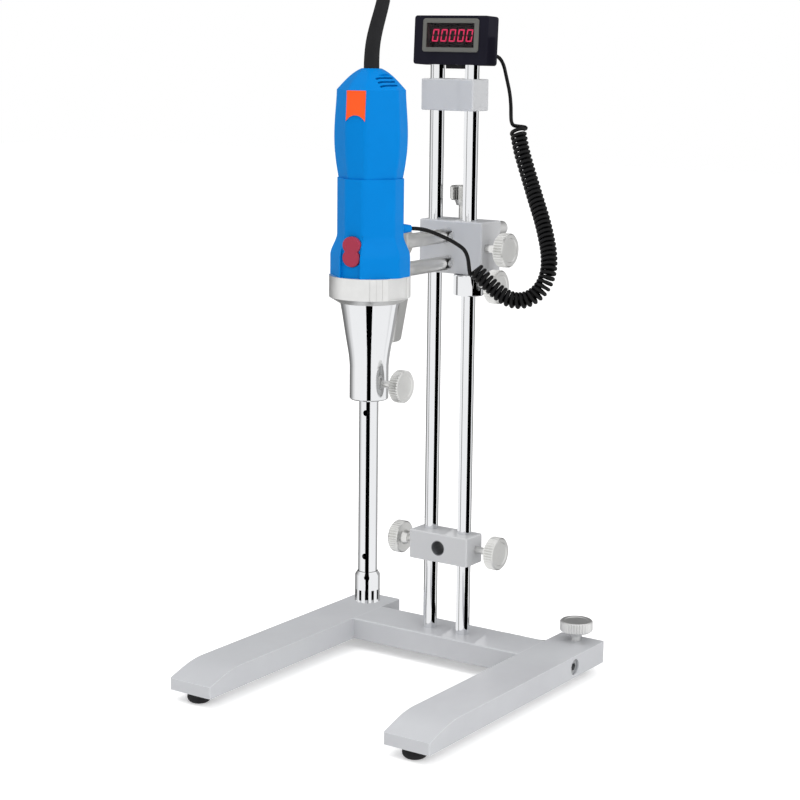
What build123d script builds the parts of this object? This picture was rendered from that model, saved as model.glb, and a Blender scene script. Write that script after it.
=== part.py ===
from build123d import *
from math import cos, pi, radians, sin, tan
import os

os.makedirs("parts", exist_ok=True)

# Rotor stator homogenizer on a two-rod stand. Millimetres, +Z up, the floor at z = 0.
# The tool hangs in front (-Y) of the rods, between the two legs of the base.

# ---- driving dimensions -------------------------------------------------------------
rod_diameter = 12.0
rod_spacing = 34.0
slide_clearance = 0.05  # radial, round rods and shafts
gap = 0.3  # between parts that move past each other

foot_height = 9.0
leg_height = 19.0
leg_width = 42.4
base_width = 256.0
front_y = -150.5
leg_rear_y = 123.3
rod_y = 69.5  # the plane of the two rods
leg_top = foot_height + leg_height

lower_block_z = (92.5, 118.0)
carriage_z = (343.5, 388.0)
upper_block_z = (479.5, 505.5)
ring_height = 17.5
display_z = 516.7
arm_z = (352.5, 375.5)
arm_front_y = -16.5
arm_rear_y = 150.5

tool_y = -51.1  # the tool's vertical axis stands at x = 0
collar_z = (331.3, 353.0)
seam_z = 430.0
motor_top = 515.0
cone_bottom = 252.7
stator_z = (84.3, 110.0)
tube_diameter = 15.6
hole_turn = 18.0  # the tube's cross holes, turned from the front towards +X

knob_diameter = 28.5
knob_thickness = 9.5
knob_notches = 36
stem_diameter = 6.0

curly_diameter = 3.2
curly_coil_diameter = 12.3
mains_diameter = 7.5

half_rod = rod_spacing / 2
rod_radius = rod_diameter / 2
rod_bore = rod_radius + slide_clearance
stem_radius = stem_diameter / 2


def finish(part, name):
    part.part.label = name
    export_step(part.part, f"parts/{name}.step")


def tool_plane(z):
    return Plane(origin=(0, tool_y, z))


def upright(x, y, z):
    return Plane(origin=(x, y, z))


def facing(x, y, z, normal):
    across = (0, 1, 0) if abs(normal[0]) > 0 else (1, 0, 0)
    return Plane(origin=(x, y, z), x_dir=across, z_dir=normal)


def disc(plane, radius, height, mode=Mode.ADD):
    """Adds or cuts a round of this radius on a plane, along the plane's normal."""
    with BuildSketch(plane) as section:
        Circle(radius)
    extrude(section.sketch, amount=height, mode=mode)


# ---- base ---------------------------------------------------------------------------
toe_length = 42.0
toe_height = 10.0
edge_break = 0.8
crossbar_y = (rod_y - 20.0, rod_y + 25.0)
crossbar_half = base_width / 2 - leg_width
leg_x = base_width / 2 - leg_width / 2
foot_inset = 12.0
front_foot_y = front_y + foot_inset
rear_foot_y = leg_rear_y - foot_inset
bolt_y = sum(crossbar_y) / 2
bolt_z = foot_height + leg_height / 2
bolt_radius = 4.0
bolt_head_radius = 6.5
bolt_head_depth = 8.0
bolt_recess = 9.5
bolt_reach = 18.0  # into the crossbar
levelling_radius = 4.0

for side, name in ((-1, "left_leg"), (1, "right_leg")):
    with BuildPart() as leg:
        with BuildSketch(Plane.YZ.offset(side * leg_x)):
            with BuildLine():
                slope = Spline(
                    (front_y + toe_length, leg_top),
                    (front_y, foot_height + toe_height),
                    tangents=((-1, 0), (-1, -0.3)),
                )
                Polyline(
                    slope @ 1,
                    (front_y, foot_height),
                    (leg_rear_y, foot_height),
                    (leg_rear_y, leg_top),
                    slope @ 0,
                )
            make_face()
        extrude(amount=leg_width / 2, both=True)
        chamfer(leg.edges().filter_by(Axis.Z), edge_break)
        outer_face = side * base_width / 2
        disc(facing(outer_face, bolt_y, bolt_z, (-side, 0, 0)), bolt_head_radius + 0.3, bolt_recess, Mode.SUBTRACT)
        disc(facing(outer_face, bolt_y, bolt_z, (-side, 0, 0)), bolt_radius + 0.2, leg_width, Mode.SUBTRACT)
        if side == 1:
            disc(upright(leg_x, rear_foot_y, foot_height), levelling_radius + slide_clearance, leg_height, Mode.SUBTRACT)
    finish(leg, name)

rod_seat = 6.0
rod_bolt_radius = 3.0
rod_bolt_head = 5.0
rod_bolt_recess = 6.5
rod_bolt_reach = 12.0

with BuildPart() as crossbar:
    with BuildSketch(Plane.XY.offset(foot_height)):
        with Locations((0, bolt_y)):
            Rectangle(2 * crossbar_half, crossbar_y[1] - crossbar_y[0])
    extrude(amount=leg_height)
    chamfer(crossbar.edges().filter_by(Axis.X), edge_break)
    for x in (-half_rod, half_rod):
        disc(upright(x, rod_y, leg_top - rod_seat), rod_radius, rod_seat, Mode.SUBTRACT)
        disc(upright(x, rod_y, foot_height), rod_bolt_radius, leg_height, Mode.SUBTRACT)
        disc(upright(x, rod_y, foot_height), rod_bolt_head + 0.2, rod_bolt_recess, Mode.SUBTRACT)
    for side in (-1, 1):
        end_face = facing(side * crossbar_half, bolt_y, bolt_z, (-side, 0, 0))
        disc(end_face, bolt_radius, bolt_reach, Mode.SUBTRACT)
finish(crossbar, "crossbar")

with BuildPart() as crossbar_bolts:
    for side in (-1, 1):
        seat = side * (base_width / 2 - bolt_recess)
        disc(facing(seat, bolt_y, bolt_z, (side, 0, 0)), bolt_head_radius, bolt_head_depth)
        disc(facing(seat, bolt_y, bolt_z, (-side, 0, 0)), bolt_radius, leg_width - bolt_recess + bolt_reach)
        with BuildSketch(facing(seat + side * bolt_head_depth, bolt_y, bolt_z, (-side, 0, 0))):
            RegularPolygon(3.4, 6)
        extrude(amount=5.0, mode=Mode.SUBTRACT)
finish(crossbar_bolts, "crossbar_bolts")

foot_radius = 10.0
foot_sole = 6.5


def domed_foot(x, y, height):
    """Adds a domed rubber foot that stands on the floor."""
    with BuildSketch(Plane(origin=(x, y, 0), x_dir=(1, 0, 0), z_dir=(0, -1, 0))) as profile:
        with BuildLine():
            Polyline((0, 0), (foot_sole, 0))
            ThreePointArc((foot_sole, 0), (9.0, 1.6), (foot_radius, 4.5))
            Polyline((foot_radius, 4.5), (foot_radius - 0.4, height), (0, height), (0, 0))
        make_face()
    revolve(profile.sketch, axis=Axis((x, y, 0), (0, 0, 1)))


with BuildPart() as rubber_feet:
    for x, y in ((-leg_x, front_foot_y), (leg_x, front_foot_y), (-leg_x, rear_foot_y)):
        domed_foot(x, y, foot_height)
finish(rubber_feet, "rubber_feet")

pad_height = 7.5
pad_socket = 4.0
with BuildPart() as levelling_pad:
    domed_foot(leg_x, rear_foot_y, pad_height)
    disc(upright(leg_x, rear_foot_y, pad_height - pad_socket), levelling_radius, pad_socket, Mode.SUBTRACT)
finish(levelling_pad, "levelling_pad")

with BuildPart() as rod_bolts:
    for x in (-half_rod, half_rod):
        head_top = foot_height + rod_bolt_recess
        disc(upright(x, rod_y, head_top - rod_bolt_head), rod_bolt_head, rod_bolt_head)
        disc(upright(x, rod_y, head_top), rod_bolt_radius, leg_top - rod_seat - head_top + rod_bolt_reach)
finish(rod_bolts, "rod_bolts")

spigot_radius = 3.0
spigot_length = 8.0
shoulder_z = display_z + 1.0
for x, name in ((-half_rod, "left_rod"), (half_rod, "right_rod")):
    with BuildPart() as rod:
        disc(upright(x, rod_y, leg_top - rod_seat), rod_radius, shoulder_z - leg_top + rod_seat)
        disc(upright(x, rod_y, shoulder_z), spigot_radius, spigot_length)
        disc(upright(x, rod_y, leg_top - rod_seat), rod_bolt_radius, rod_bolt_reach, Mode.SUBTRACT)
    finish(rod, name)

# ---- thumbscrews --------------------------------------------------------------------
hub_radius = 5.0
hub_length = 4.5
notch_depth = 0.9


def thumbscrew(name, plane, exposed, engaged, radius=knob_diameter / 2, thickness=knob_thickness, screw=stem_radius):
    """A knurled thumbscrew on a plane whose origin is on the block's face and whose z points out.

    The half section is turned about the screw's own axis, then the rim is notched.
    """
    head = exposed - thickness
    with BuildPart() as knob:
        with BuildSketch(Plane(origin=plane.origin, x_dir=plane.x_dir, z_dir=plane.y_dir * -1)):
            with BuildLine():
                Polyline(
                    (0, -engaged),
                    (screw - 0.5, -engaged),
                    (screw, 0.5 - engaged),
                    (screw, head - hub_length),
                    (hub_radius, head - hub_length),
                    (hub_radius + 1.5, head),
                    (radius - 1.2, head),
                    (radius, head + 1.2),
                    (radius, exposed - 1.2),
                    (radius - 1.2, exposed),
                    (radius - 4.0, exposed),
                    (radius - 4.5, exposed - 0.5),
                    (0, exposed - 0.5),
                    (0, -engaged),
                )
            make_face()
        revolve(axis=Axis(plane.origin, plane.z_dir))
        with BuildSketch(plane.offset(head)):
            with PolarLocations(radius, knob_notches):
                RegularPolygon(notch_depth, 4)
        extrude(amount=thickness, mode=Mode.SUBTRACT)
    finish(knob, name)


levelling_exposed = 18.0
thumbscrew(
    "levelling_screw",
    upright(leg_x, rear_foot_y, leg_top),
    levelling_exposed,
    leg_top - pad_height + pad_socket,
    screw=levelling_radius,
)

# ---- lower block --------------------------------------------------------------------
lower_block_half = 29.5
lower_block_y = (rod_y - 15.5, rod_y + 9.5)
accessory_radius = 6.0
lower_knob_out = 24.5
lower_mid = sum(lower_block_z) / 2
thumb_bore = stem_radius + slide_clearance


def clamp_block(x_range, y_range, z_range, lock_z):
    """A block bored for both rods, with a threaded hole from each side for its thumbscrews."""
    with BuildSketch(Plane.XY.offset(z_range[0])) as outline:
        with Locations((sum(x_range) / 2, sum(y_range) / 2)):
            Rectangle(x_range[1] - x_range[0], y_range[1] - y_range[0])
    extrude(outline.sketch, amount=z_range[1] - z_range[0])
    chamfer(edges(), edge_break)
    for x in (-half_rod, half_rod):
        disc(upright(x, rod_y, z_range[0]), rod_bore, z_range[1] - z_range[0], Mode.SUBTRACT)
    for side, x in zip((-1, 1), x_range):
        disc(facing(x, rod_y, lock_z, (-side, 0, 0)), thumb_bore, abs(x) - half_rod, Mode.SUBTRACT)


with BuildPart() as lower_block:
    clamp_block((-lower_block_half, lower_block_half), lower_block_y, lower_block_z, lower_mid)
    front = facing(0, lower_block_y[0], lower_mid, (0, 1, 0))
    disc(front, accessory_radius, lower_block_y[1] - lower_block_y[0], Mode.SUBTRACT)
finish(lower_block, "lower_block")

lock_tip = gap  # a loosened screw's tip stands just off the rod
for side, name in ((-1, "lower_left_thumbscrew"), (1, "lower_right_thumbscrew")):
    face = facing(side * lower_block_half, rod_y, lower_mid, (side, 0, 0))
    thumbscrew(name, face, lower_knob_out, lower_block_half - half_rod - rod_radius - lock_tip)

# ---- carriage -----------------------------------------------------------------------
carriage_x = (-28.0, 34.0)
carriage_y = (rod_y - 8.0, rod_y + 22.5)
carriage_knob_end = 57.5  # the outer faces of both knobs
carriage_lock_z = 366.0
arm_lock_y = rod_y + 15.0
arm_lock_out = 28.0
arm_lock_radius = 10.5
arm_lock_thickness = 12.0
arm_bore = rod_radius + slide_clearance
arm_radius = rod_radius

with BuildPart() as carriage_block:
    clamp_block(carriage_x, carriage_y, carriage_z, carriage_lock_z)
    for z in arm_z:
        disc(facing(0, carriage_y[0], z, (0, 1, 0)), arm_bore, carriage_y[1] - carriage_y[0], Mode.SUBTRACT)
    disc(upright(0, arm_lock_y, arm_z[1]), thumb_bore, carriage_z[1] - arm_z[1], Mode.SUBTRACT)
finish(carriage_block, "carriage_block")

carriage_locks = ((-1, carriage_x[0], "carriage_left_thumbscrew"), (1, carriage_x[1], "carriage_right_thumbscrew"))
for side, x, name in carriage_locks:
    face = facing(x, rod_y, carriage_lock_z, (side, 0, 0))
    thumbscrew(name, face, carriage_knob_end - abs(x), abs(x) - half_rod - rod_radius - lock_tip)
thumbscrew(
    "arm_lock_thumbscrew",
    upright(0, arm_lock_y, carriage_z[1]),
    arm_lock_out,
    carriage_z[1] - arm_z[1] - arm_radius - lock_tip,
    radius=arm_lock_radius,
    thickness=arm_lock_thickness,
)

# ---- stop ring ----------------------------------------------------------------------
ring_radius = 13.0
ring_z = (carriage_z[0] - gap - ring_height, carriage_z[0] - gap)
ring_lock_z = ring_z[0] + 9.0
ring_knob_out = 19.0

with BuildPart() as stop_ring:
    disc(upright(half_rod, rod_y, ring_z[0]), ring_radius, ring_height)
    chamfer(stop_ring.edges().filter_by(GeomType.CIRCLE), edge_break)
    disc(upright(half_rod, rod_y, ring_z[0]), rod_bore, ring_height, Mode.SUBTRACT)
    disc(facing(half_rod + ring_radius, rod_y, ring_lock_z, (-1, 0, 0)), thumb_bore, ring_radius, Mode.SUBTRACT)
finish(stop_ring, "stop_ring")
thumbscrew(
    "stop_ring_thumbscrew",
    facing(half_rod + ring_radius, rod_y, ring_lock_z, (1, 0, 0)),
    ring_knob_out,
    ring_radius - rod_radius - lock_tip,
)

# ---- upper block --------------------------------------------------------------------
upper_block_half = 25.5
upper_block_y = (rod_y - 12.0, rod_y + 13.0)
set_screw_z = sum(upper_block_z) / 2

with BuildPart() as upper_block:
    with BuildSketch(Plane.XY.offset(upper_block_z[0])):
        with Locations((0, sum(upper_block_y) / 2)):
            Rectangle(2 * upper_block_half, upper_block_y[1] - upper_block_y[0])
    extrude(amount=upper_block_z[1] - upper_block_z[0])
    chamfer(upper_block.edges(), edge_break)
    for x in (-half_rod, half_rod):
        disc(upright(x, rod_y, upper_block_z[0]), rod_radius, upper_block_z[1] - upper_block_z[0], Mode.SUBTRACT)
        disc(facing(x, upper_block_y[1], set_screw_z, (0, -1, 0)), stem_radius, upper_block_y[1] - rod_y, Mode.SUBTRACT)
finish(upper_block, "upper_block")

with BuildPart() as set_screws:
    for x in (-half_rod, half_rod):
        rear = facing(x, upper_block_y[1] - 0.5, set_screw_z, (0, -1, 0))
        disc(rear, stem_radius, upper_block_y[1] - 0.5 - rod_y - rod_radius)
        with BuildSketch(rear):
            RegularPolygon(1.7, 6)
        extrude(amount=3.0, mode=Mode.SUBTRACT)
finish(set_screws, "upper_block_set_screws")

# ---- display ------------------------------------------------------------------------
display_tilt = 3.0  # the face leans back
display_x = -1.0
display_width = 72.4
display_height = 40.0
display_depth = 15.5
cover_thickness = 2.5
case_wall = 2.0
bezel_size = (54.6, 27.4)
bezel_proud = 1.5
bezel_middle = 23.9  # above the case's lower edge
meter_size = (50.6, 23.4)  # the part of the bezel that passes through the case's front
meter_depth = 9.0
window_size = (47.0, 20.0)
window_thickness = 1.5
display_centre_y = rod_y + 1.0
gland_x = 25.0
gland_up = 9.0
gland_length = 6.0


def display_plane(depth):
    """A plane parallel to the face, this far behind the case's front, with its origin at the lower edge."""
    ahead = display_depth / 2 - depth
    tilt = radians(display_tilt)
    origin = (display_x, display_centre_y - ahead * cos(tilt), display_z + ahead * sin(tilt))
    return Plane(origin=origin, x_dir=(1, 0, 0), z_dir=(0, cos(tilt), -sin(tilt)))


def display_block(depth, thickness, size, middle, corner=0.0, mode=Mode.ADD, x=0.0):
    """Adds or cuts a rectangular piece that starts at this depth and goes back into the case."""
    with BuildSketch(display_plane(depth)) as outline:
        with Locations((x, -middle)):
            if corner > 0:
                RectangleRounded(size[0], size[1], corner)
            else:
                Rectangle(size[0], size[1])
    extrude(outline.sketch, amount=thickness, mode=mode)


bracket_z = (display_z + 3.6, display_z + 8.2)
bracket_y = (rod_y - 4.2, rod_y + 5.3)
bracket_half = 25.0
boss_size = (16.0, 6.2)
boss_drop = 6.6

with BuildPart() as display_case:
    display_block(0, display_depth - cover_thickness, (display_width, display_height), display_height / 2, 2.5)
    inner = (display_width - 2 * case_wall, display_height - 2 * case_wall)
    display_block(case_wall, display_depth, inner, display_height / 2, 1.0, Mode.SUBTRACT)
    display_block(-1, case_wall + 2, (meter_size[0] + 0.1, meter_size[1] + 0.1), bezel_middle, 0.0, Mode.SUBTRACT)
    for x in (-half_rod, half_rod):
        disc(upright(x, rod_y, display_z - 5), rod_radius + 0.1, 5 + shoulder_z - display_z, Mode.SUBTRACT)
        disc(upright(x, rod_y, display_z - 5), spigot_radius + 0.1, 12, Mode.SUBTRACT)
    with BuildSketch(Plane.XY.offset(display_z - 5)):
        with Locations((0, rod_y + 1.5)):
            Rectangle(boss_size[0] + 0.2, boss_size[1] + 0.2)
    extrude(amount=9.0, mode=Mode.SUBTRACT)
finish(display_case, "display_case")

with BuildPart() as display_back_cover:
    rear_depth = display_depth - cover_thickness
    display_block(rear_depth, cover_thickness, (display_width, display_height), display_height / 2, 2.5)
    lip = (inner[0] - 0.2, inner[1] - 0.2)
    display_block(rear_depth - 1.5, 1.5, lip, display_height / 2, 0.9)
    display_block(rear_depth - 1.5, 1.5, (lip[0] - 3, lip[1] - 3), display_height / 2, 0.0, Mode.SUBTRACT)
    with BuildSketch(display_plane(rear_depth - 2)):
        with Locations((gland_x, -gland_up)):
            Circle(3.0)
    extrude(amount=cover_thickness + 3, mode=Mode.SUBTRACT)
finish(display_back_cover, "display_back_cover")

with BuildPart() as display_bezel:
    display_block(-bezel_proud, bezel_proud, bezel_size, bezel_middle, 2.5)
    chamfer(display_bezel.edges().group_by(Axis.Y)[0], 0.6)
    display_block(0, meter_depth, meter_size, bezel_middle)
    display_block(-bezel_proud, meter_depth + bezel_proud, window_size, bezel_middle, 0.0, Mode.SUBTRACT)
finish(display_bezel, "display_bezel")

with BuildPart() as display_window:
    display_block(-0.3, window_thickness, window_size, bezel_middle)
finish(display_window, "display_window")

digit_size = (8.2, 14.5)
digit_pitch = 8.9
with BuildPart() as display_board:
    display_block(meter_depth, 1.6, meter_size, bezel_middle)
    for i in range(5):
        display_block(3.0, meter_depth - 3.0, digit_size, bezel_middle, x=(i - 2) * digit_pitch)
finish(display_board, "display_board")

with BuildPart() as display_bracket:
    with BuildSketch(Plane.XY.offset(bracket_z[0])):
        with Locations((0, sum(bracket_y) / 2)):
            Rectangle(2 * bracket_half, bracket_y[1] - bracket_y[0])
    extrude(amount=bracket_z[1] - bracket_z[0])
    with BuildSketch(Plane.XY.offset(bracket_z[0] - boss_drop)):
        with Locations((0, rod_y + 1.5)):
            Rectangle(*boss_size)
    extrude(amount=boss_drop)
    for x in (-half_rod, half_rod):
        disc(upright(x, rod_y, bracket_z[0]), spigot_radius, spigot_length, Mode.SUBTRACT)
finish(display_bracket, "display_bracket")

with BuildPart() as display_cable_gland:
    with BuildSketch(display_plane(display_depth - cover_thickness)):
        with Locations((gland_x, -gland_up)):
            Circle(3.0)
    extrude(amount=cover_thickness)
    with BuildSketch(display_plane(display_depth)):
        with Locations((gland_x, -gland_up)):
            Circle(4.2)
    extrude(amount=gland_length, taper=14)
finish(display_cable_gland, "display_cable_gland")

# ---- arms and tool bracket ----------------------------------------------------------
boss_radius = 9.0
boss_rear_y = -7.5
web_half = 9.0
web_y = (-22.5, -10.0)
flange_y = (-25.5, -14.0)
tongue_bottom = 294.5
collar_radius = 32.5

for z, name in zip(arm_z, ("lower_arm", "upper_arm")):
    with BuildPart() as arm:
        disc(facing(0, arm_front_y, z, (0, 1, 0)), arm_radius, arm_rear_y - arm_front_y)
        chamfer(arm.edges().filter_by(GeomType.CIRCLE), 0.6)
    finish(arm, name)

with BuildPart() as tool_bracket:
    with BuildSketch(facing(0, web_y[0], 0, (0, -1, 0))):
        with Locations((0, 364.5)):
            RectangleRounded(2 * web_half, 43.0, 4.0)
    extrude(amount=web_y[0] - web_y[1])
    for z in arm_z:
        disc(facing(0, web_y[0], z, (0, 1, 0)), boss_radius, boss_rear_y - web_y[0])
    with BuildSketch(facing(0, flange_y[1], 0, (0, -1, 0))):
        with BuildLine():
            Polyline((-12.0, 347.0), (-12.0, 331.0), (-5.5, tongue_bottom + 3))
            Polyline((5.5, tongue_bottom + 3), (12.0, 331.0), (12.0, 347.0), (-12.0, 347.0))
            ThreePointArc((-5.5, tongue_bottom + 3), (0, tongue_bottom), (5.5, tongue_bottom + 3))
        make_face()
    extrude(amount=flange_y[1] - flange_y[0])
    # the saddle that fits the collar, and room for the cone and the housing
    disc(tool_plane(collar_z[0]), collar_radius, motor_top - collar_z[0], Mode.SUBTRACT)
    disc(tool_plane(collar_z[1]), collar_radius + 1.2, motor_top - collar_z[1], Mode.SUBTRACT)
    disc(tool_plane(tongue_bottom - 5), collar_radius - 5, collar_z[0] - tongue_bottom + 5, Mode.SUBTRACT)
    for z in arm_z:
        disc(facing(0, arm_front_y, z, (0, 1, 0)), arm_radius, boss_rear_y - arm_front_y, Mode.SUBTRACT)
    for x in (-6.5, 6.5):
        disc(facing(x, flange_y[1], 337.0, (0, -1, 0)), 2.2, 20.0, Mode.SUBTRACT)
finish(tool_bracket, "tool_bracket")

with BuildPart() as bracket_screws:
    for x in (-6.5, 6.5):
        disc(facing(x, flange_y[1], 337.0, (0, 1, 0)), 3.5, 3.8)
        disc(facing(x, flange_y[1], 337.0, (0, -1, 0)), 2.0, 13.0)
        with BuildSketch(facing(x, flange_y[1] + 3.8, 337.0, (0, -1, 0))):
            RegularPolygon(1.7, 6)
        extrude(amount=2.4, mode=Mode.SUBTRACT)
finish(bracket_screws, "bracket_screws")

# ---- motor --------------------------------------------------------------------------
housing_turn = 5.0  # the lower housing's front flat, turned from -Y towards +X
upper_turn = 9.5  # the same for the upper housing and its label
flat_half_angle = 16.5  # half of a narrow flat, seen from the axis
cavity_radius = 20.8
cavity_z = (356.0, 476.0)
bearing_radius = 11.0
bearing_height = 7.0
bearing_z = (collar_z[1] - bearing_height, 478.0)
neck_radius = 7.0  # where the shaft passes from the housing into the collar


def housing_section(z, half_width, corner=5.0, turn=housing_turn):
    """The eight-sided section with four narrow flats and four broad ones between them."""
    corner_radius = half_width / cos(radians(flat_half_angle))
    points = []
    for quarter in range(4):
        for edge in (-flat_half_angle, flat_half_angle):
            angle = radians(-90 + turn + 90 * quarter + edge)
            points.append((corner_radius * cos(angle), corner_radius * sin(angle)))
    with BuildSketch(tool_plane(z)) as section:
        Polygon(*points, align=None)
        fillet(section.vertices(), corner)
    return section.sketch


def front_plane(out, degrees=housing_turn):
    """A plane square to the front flat, this far from the axis, with y up."""
    turn = radians(degrees)
    origin = (out * sin(turn), tool_y - out * cos(turn), 0)
    return Plane(origin=origin, x_dir=(cos(turn), sin(turn), 0), z_dir=(sin(turn), -cos(turn), 0))


lobe_z = (368.95, 378.85)  # the middles of the rocker's two lobes
lobe_size = (7.7, 6.9)  # half width and half height of a lobe
rocker_waist = (11.6, 6.0)
rocker_gap = 0.45
pocket_half = 9.0
pocket_floor = 28.6
pocket_top = 394.0
switch_body = (17.4, 24.8)
box_out = (21.0, 26.2)  # the switch's body, from the tool's axis
switch_middle = sum(lobe_z) / 2
shaft_radius = 5.0
lead_gland_z = 390.0
lead_gland_turn = 125.0  # from -Y towards +X, seen from the axis
lead_gland_reach = 25.5
lead_gland_radius = 3.2
lead_gland_out = 7.0


def lead_gland_plane(out):
    """The gland's plane, square to the right rear facet; out is measured from the facet."""
    facet = radians(housing_turn + 135)
    place = radians(lead_gland_turn)
    normal = (sin(facet), -cos(facet))
    x = lead_gland_reach * sin(place) + out * normal[0]
    y = tool_y - lead_gland_reach * cos(place) + out * normal[1]
    return Plane(origin=(x, y, lead_gland_z), x_dir=(cos(facet), sin(facet), 0), z_dir=(*normal, 0))


def rocker_outline(out, grow=0.0):
    """The rocker's two round lobes and its waist, on a plane this far from the axis."""
    with BuildSketch(front_plane(out)) as outline:
        for z in lobe_z:
            with Locations((0, z)):
                Ellipse(lobe_size[0] + grow, lobe_size[1] + grow)
        with Locations((0, switch_middle)):
            Rectangle(rocker_waist[0] + 2 * grow, rocker_waist[1])
    return outline.sketch


skirt_width = 31.7
waist_width = 26.4
flare_z = (368.0, 386.0)
flare_steps = 6


def flare_width(z):
    """Half width across the flats where the waist opens out into the skirt, eased at both ends."""
    along = (z - flare_z[0]) / (flare_z[1] - flare_z[0])
    return waist_width + (skirt_width - waist_width) * (1 + cos(pi * along)) / 2


flare_heights = [flare_z[0] + (flare_z[1] - flare_z[0]) * i / flare_steps for i in range(flare_steps + 1)]
with BuildPart() as motor_lower_housing:
    extrude(housing_section(collar_z[1], skirt_width), amount=flare_z[0] - collar_z[1])
    loft([housing_section(z, flare_width(z)) for z in flare_heights])
    extrude(housing_section(flare_z[1], waist_width), amount=seam_z - flare_z[1])
    # the switch stands in a long scoop that runs down to the collar
    with BuildSketch(front_plane(pocket_floor)):
        with BuildLine():
            Polyline((-pocket_half, collar_z[1] - 1), (-pocket_half, 380.0))
            ThreePointArc((-pocket_half, 380.0), (0, pocket_top), (pocket_half, 380.0))
            Polyline((pocket_half, 380.0), (pocket_half, collar_z[1] - 1), (-pocket_half, collar_z[1] - 1))
        make_face()
    extrude(amount=10.0, mode=Mode.SUBTRACT)
    disc(tool_plane(cavity_z[0]), cavity_radius, seam_z - cavity_z[0], Mode.SUBTRACT)
    disc(tool_plane(collar_z[1]), neck_radius, 10.0, Mode.SUBTRACT)
    with BuildSketch(front_plane(cavity_radius - 4)):
        with Locations((0, switch_middle)):
            Rectangle(*switch_body)
    extrude(amount=box_out[1] - cavity_radius + 4, mode=Mode.SUBTRACT)
    extrude(rocker_outline(box_out[1] - 1, rocker_gap), amount=10.0, mode=Mode.SUBTRACT)
    disc(lead_gland_plane(-5.0), lead_gland_radius, 20.0, Mode.SUBTRACT)
finish(motor_lower_housing, "motor_lower_housing")

upper_sections = ((seam_z, 25.1), (443.0, 27.2), (457.6, 28.4), (477.0, 28.0), (498.5, 26.7))
shoulder_sections = ((498.5, 26.7, 5.0), (504.0, 21.8, 4.6), (511.0, 14.4, 3.4), (motor_top, 7.6, 2.0))
vent_count = 3
vent_turn = radians(-15)
vent_slope = radians(45)
vent_reach = 18.6
boot_hole_radius = 4.5
boot_hole_depth = 8.0

with BuildPart() as motor_upper_housing:
    loft([housing_section(z, width, turn=upper_turn) for z, width in upper_sections])
    loft([housing_section(z, width, corner, upper_turn) for z, width, corner in shoulder_sections])
    # the air vent: a shallow recess in the right shoulder with three slots through to the cavity
    across = cos(vent_slope)
    vent = Plane(
        origin=(vent_reach * cos(vent_turn), tool_y + vent_reach * sin(vent_turn), 505.0),
        x_dir=(-sin(vent_turn), cos(vent_turn), 0),
        z_dir=(cos(vent_turn) * across, sin(vent_turn) * across, sin(vent_slope)),
    )
    with BuildSketch(vent):
        RectangleRounded(22.0, 14.0, 2.0)
    extrude(amount=8.0, mode=Mode.SUBTRACT)
    with BuildSketch(vent):
        with GridLocations(0, 4.0, 1, vent_count):
            SlotOverall(17.0, 1.9)
    extrude(amount=-6.0, mode=Mode.SUBTRACT)
    disc(tool_plane(seam_z), cavity_radius, cavity_z[1] - seam_z, Mode.SUBTRACT)
    disc(tool_plane(cavity_z[1]), bearing_radius, bearing_z[1] + bearing_height + 0.5 - cavity_z[1], Mode.SUBTRACT)
    disc(tool_plane(motor_top - boot_hole_depth), boot_hole_radius, boot_hole_depth, Mode.SUBTRACT)
finish(motor_upper_housing, "motor_upper_housing")

label_z = (475.1, 498.4)
label_half = 8.0
label_arch = 4.5
label_thickness = 0.8
with BuildPart() as label_plate:
    loft([housing_section(z, width + label_thickness, turn=upper_turn) for z, width in upper_sections])
    loft([housing_section(z, width, turn=upper_turn) for z, width in upper_sections], mode=Mode.SUBTRACT)
    with BuildSketch(front_plane(20.0, upper_turn)):
        with BuildLine():
            Polyline(
                (-label_half, label_z[0]),
                (-label_half, label_z[1]),
                (label_half, label_z[1]),
                (label_half, label_z[0]),
            )
            ThreePointArc((label_half, label_z[0]), (0, label_z[0] + label_arch), (-label_half, label_z[0]))
        make_face()
    extrude(amount=20.0, mode=Mode.INTERSECT)
finish(label_plate, "label_plate")

rocker_out = (27.2, 30.4)  # back and front of the rocker, from the tool's axis
rocker_pivot = 23.8
stem_size = (6.0, 4.0)
pin_radius = 1.5
pin_half = 5.0


def hinge_plane(along):
    """A plane square to the rocker's hinge, this far along it from the middle."""
    turn = radians(housing_turn)
    x = rocker_pivot * sin(turn) + along * cos(turn)
    y = tool_y - rocker_pivot * cos(turn) + along * sin(turn)
    return Plane(origin=(x, y, switch_middle), x_dir=(0, 0, 1), z_dir=(cos(turn), sin(turn), 0))


with BuildPart() as switch_rocker:
    extrude(rocker_outline(rocker_out[0]), amount=rocker_out[1] - rocker_out[0])
    chamfer(switch_rocker.faces().sort_by(Axis.Y)[0].edges(), 0.5)
    with BuildSketch(front_plane(rocker_pivot)):
        with Locations((0, switch_middle)):
            Rectangle(*stem_size)
    extrude(amount=rocker_out[0] - rocker_pivot)
    disc(hinge_plane(-pin_half), pin_radius, 2 * pin_half)
finish(switch_rocker, "switch_rocker")

with BuildPart() as switch_box:
    with BuildSketch(front_plane(box_out[0])):
        with Locations((0, switch_middle)):
            Rectangle(switch_body[0] - 0.1, switch_body[1] - 0.1)
    extrude(amount=box_out[1] - box_out[0])
    with BuildSketch(front_plane(rocker_pivot - pin_radius - gap)):
        with Locations((0, switch_middle)):
            Rectangle(stem_size[0] + 0.4, stem_size[1] + 1.2)
    extrude(amount=10.0, mode=Mode.SUBTRACT)
    disc(hinge_plane(-pin_half - gap), pin_radius + slide_clearance, 2 * (pin_half + gap), Mode.SUBTRACT)
finish(switch_box, "switch_box")

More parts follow.
